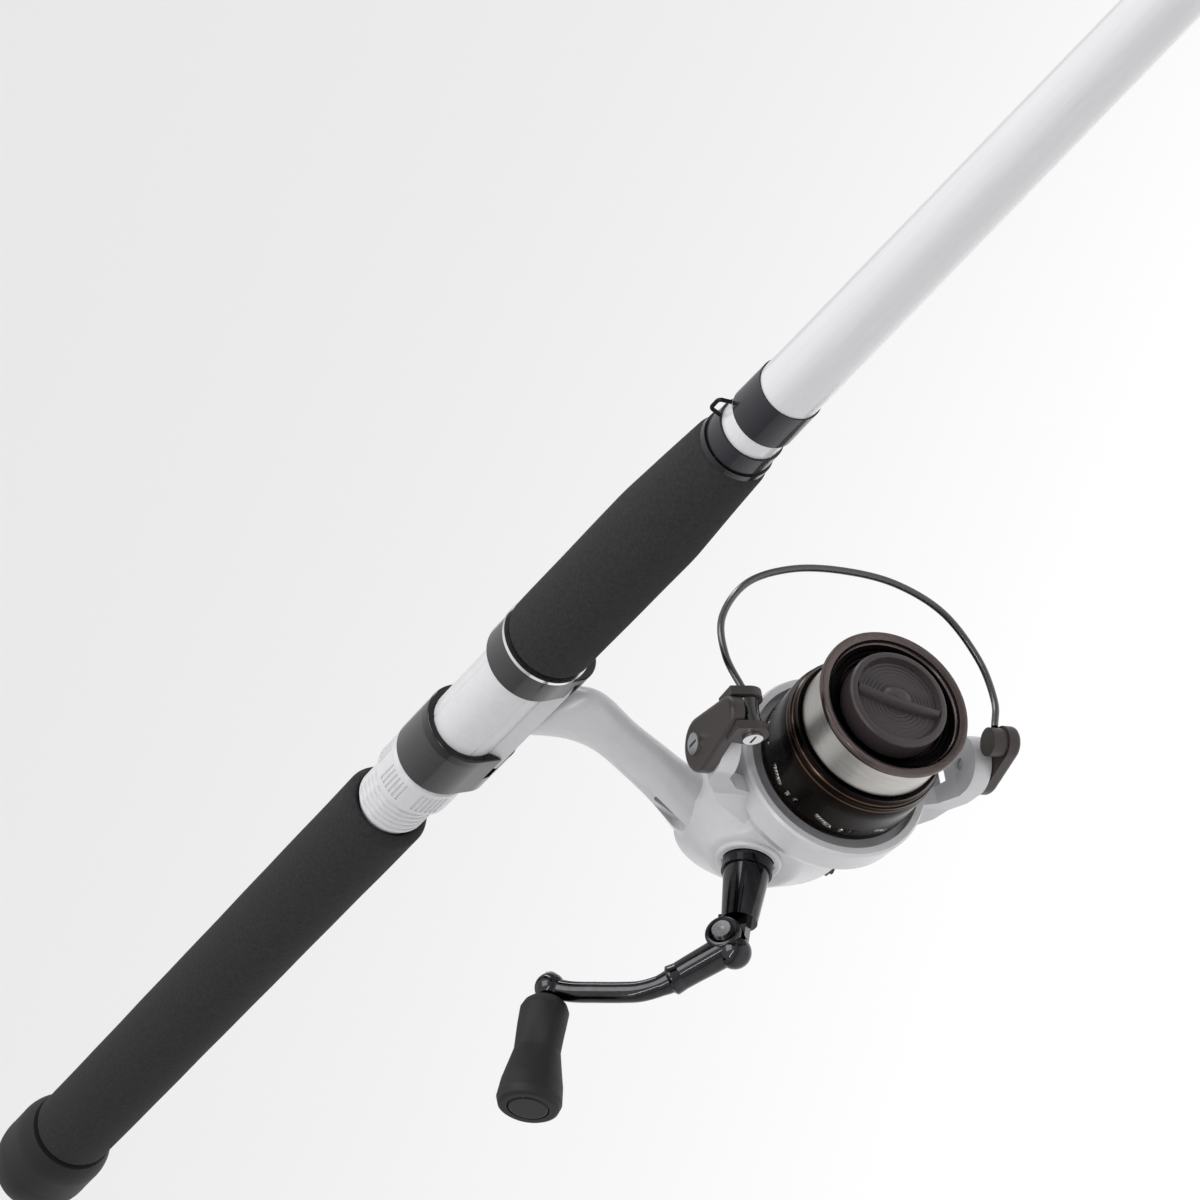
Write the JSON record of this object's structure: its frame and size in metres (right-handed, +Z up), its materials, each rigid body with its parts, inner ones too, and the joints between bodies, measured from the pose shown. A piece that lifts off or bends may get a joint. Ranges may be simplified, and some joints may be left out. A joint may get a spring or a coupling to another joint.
{
  "type": "fishing rod and reel",
  "caption": "Collapsed telescopic spinning rod with foam grips and a screw-down reel seat, carrying a white spinning reel with bail, drag spool and folding crank.",
  "frame": {"origin": "on the rod's axis at the middle of the butt cap's round band", "axes": "+X along the rod from butt to tip, +Z up and away from the reel, +Y to the left, the crank on the right at -Y"},
  "size_m": [0.8516, 0.1561, 0.1641],
  "materials": {
    "butt_rubber": "matt moulded black rubber",
    "grip_foam": "fine-grained charcoal EVA foam",
    "seat_white": "glossy white moulded nylon",
    "hood_black": "glossy black plated hood",
    "trim_silver": "bright trim ring",
    "wrap_thread": "thread wraps under clear epoxy",
    "keeper_wire": "black-finished spring wire",
    "blank_white": "white lacquered glass-fibre tube",
    "guide_frame": "black-finished stamped steel",
    "guide_ring": "polished dark ceramic",
    "reel_white": "glossy white moulded graphite body",
    "screw_steel": "bright machine screws",
    "bearing_steel": "polished bearing races",
    "gear_zinc": "die-cast zinc gear",
    "pinion_brass": "machined brass",
    "shaft_steel": "ground steel shaft",
    "lever_grey": "dark grey moulded cover",
    "wire_black": "black-finished bail wire",
    "roller_black": "black chrome line roller",
    "spool_dark": "dark anodised spool",
    "line_clear": "clear monofilament wound on the spool",
    "band_steel": "brushed metallic foil band",
    "washer_felt": "oiled felt washer",
    "knob_dark": "dark brown-grey moulded knob",
    "crank_black": "black chrome plated zinc",
    "knob_soft": "soft-touch black knob",
    "knob_gloss": "glossy black cap"
  },
  "bodies": {
    "rod": {"butt_cap": "butt_rubber", "rear_grip": "grip_foam", "foregrip": "grip_foam", "seat_barrel": "seat_white", "fixed_hood": "hood_black", "trim_ring": "trim_silver", "winding_check": "hood_black", "lower_wrap": "wrap_thread", "upper_wrap": "wrap_thread", "hook_keeper": "keeper_wire", "butt_section": "blank_white", "butt_guide": "guide_frame", "butt_guide_ring": "guide_ring", "reel_frame": "reel_white", "side_cover": "reel_white", "cover_screws": "screw_steel", "handle_bearings": "bearing_steel", "bearing_cap": "reel_white", "pinion_bearing": "bearing_steel", "one_way_clutch": "bearing_steel"},
    "seat_hood": {"sliding_hood": "hood_black"},
    "seat_nut": {"hood_nut": "seat_white"},
    "middle_tube": {"middle_section": "blank_white", "middle_guide": "guide_frame", "middle_guide_ring": "guide_ring"},
    "upper_tube": {"upper_section": "blank_white", "upper_guide": "guide_frame", "upper_guide_ring": "guide_ring"},
    "tip_tube": {"tip_section": "blank_white", "tip_guide": "guide_frame", "tip_guide_ring": "guide_ring"},
    "crank": {"drive_gear": "gear_zinc", "handle_sleeve": "crank_black"},
    "crank_arm_body": {"crank_arm": "crank_black", "folding_pin": "screw_steel", "knob_spindle": "shaft_steel"},
    "knob": {"handle_knob": "knob_soft", "knob_cap": "knob_gloss"},
    "rotor_body": {"rotor": "reel_white", "rotor_nut": "pinion_brass", "pinion_gear": "pinion_brass", "bail_screws": "screw_steel"},
    "bail": {"bail_arm": "lever_grey", "bail_holder": "lever_grey", "roller_screw": "screw_steel", "bail_wire": "wire_black"},
    "roller": {"line_roller": "roller_black"},
    "oscillator": {"oscillating_gear": "gear_zinc"},
    "spool_carrier": {"oscillating_slider": "gear_zinc", "main_shaft": "shaft_steel", "steel_washers": "shaft_steel"},
    "spool_body": {"spool": "spool_dark", "wound_line": "line_clear", "spool_band": "band_steel", "felt_washers": "washer_felt"},
    "drag": {"drag_knob": "knob_dark", "drag_nut": "pinion_brass"},
    "reverse_lever": {"anti_reverse_lever": "lever_grey"}
  },
  "joints": [
    {"name": "nut_turn", "type": "hinge", "parent": "seat_hood", "child": "seat_nut", "pos_m": [0.3, 0, 0], "axis": [1, 0, 0], "range_deg": [-1690, 0]},
    {"name": "hood_slide", "type": "slide", "parent": "rod", "child": "seat_hood", "axis": [1, 0, 0], "range_m": [-0.0122, 0]},
    {"name": "middle_draw", "type": "slide", "parent": "rod", "child": "middle_tube", "axis": [1, 0, 0], "range_m": [0, 0.55]},
    {"name": "upper_draw", "type": "slide", "parent": "middle_tube", "child": "upper_tube", "axis": [1, 0, 0], "range_m": [0, 0.55]},
    {"name": "tip_draw", "type": "slide", "parent": "upper_tube", "child": "tip_tube", "axis": [1, 0, 0], "range_m": [0, 0.55]},
    {"name": "crank_turn", "type": "hinge", "parent": "rod", "child": "crank", "pos_m": [0.34396, -0.02, -0.09148], "axis": [0, -1, 0], "continuous": true},
    {"name": "crank_fold", "type": "hinge", "parent": "crank", "child": "crank_arm_body", "pos_m": [0.34181, -0.046, -0.08939], "axis": [0.6966, 0, 0.7175], "range_deg": [-62, 0]},
    {"name": "knob_spin", "type": "hinge", "parent": "crank_arm_body", "child": "knob", "pos_m": [0.3027, -0.0595, -0.05143], "axis": [0, -1, 0], "continuous": true},
    {"name": "rotor_turn", "type": "hinge", "parent": "rod", "child": "rotor_body", "pos_m": [0.38043, 0, -0.09833], "axis": [0.9982, 0, 0.0593], "continuous": true},
    {"name": "bail_flip", "type": "hinge", "parent": "rotor_body", "child": "bail", "pos_m": [0.38742, 0, -0.09791], "axis": [0.0564, 0.309, -0.9494], "range_deg": [0, 110]},
    {"name": "roller_spin", "type": "hinge", "parent": "bail", "child": "roller", "pos_m": [0.40404, -0.01282, -0.05739], "axis": [0.0183, -0.9511, -0.3085], "continuous": true},
    {"name": "oscillator_turn", "type": "hinge", "parent": "rod", "child": "oscillator", "pos_m": [0.3329, 0.009, -0.10766], "axis": [0, -1, 0], "continuous": true},
    {"name": "spool_stroke", "type": "slide", "parent": "rod", "child": "spool_carrier", "axis": [0.9982, 0, 0.0593], "range_m": [-0.004, 0.008]},
    {"name": "spool_slip", "type": "hinge", "parent": "spool_carrier", "child": "spool_body", "pos_m": [0.40039, 0, -0.09714], "axis": [0.9982, 0, 0.0593], "continuous": true},
    {"name": "drag_turn", "type": "hinge", "parent": "spool_carrier", "child": "drag", "pos_m": [0.42036, 0, -0.09595], "axis": [0.9982, 0, 0.0593], "range_deg": [-360, 180]},
    {"name": "reverse_switch", "type": "hinge", "parent": "rod", "child": "reverse_lever", "pos_m": [0.34186, 0, -0.12366], "axis": [-0.0593, 0, 0.9982], "range_deg": [0, 25]}
  ],
  "couplings": [
    {"joint": "rotor_turn", "follows": "crank_turn", "ratio": -5.2222},
    {"joint": "oscillator_turn", "follows": "crank_turn", "ratio": -2},
    {"joint": "nut_turn", "follows": "hood_slide", "rad_per_m": 2416.6}
  ]
}
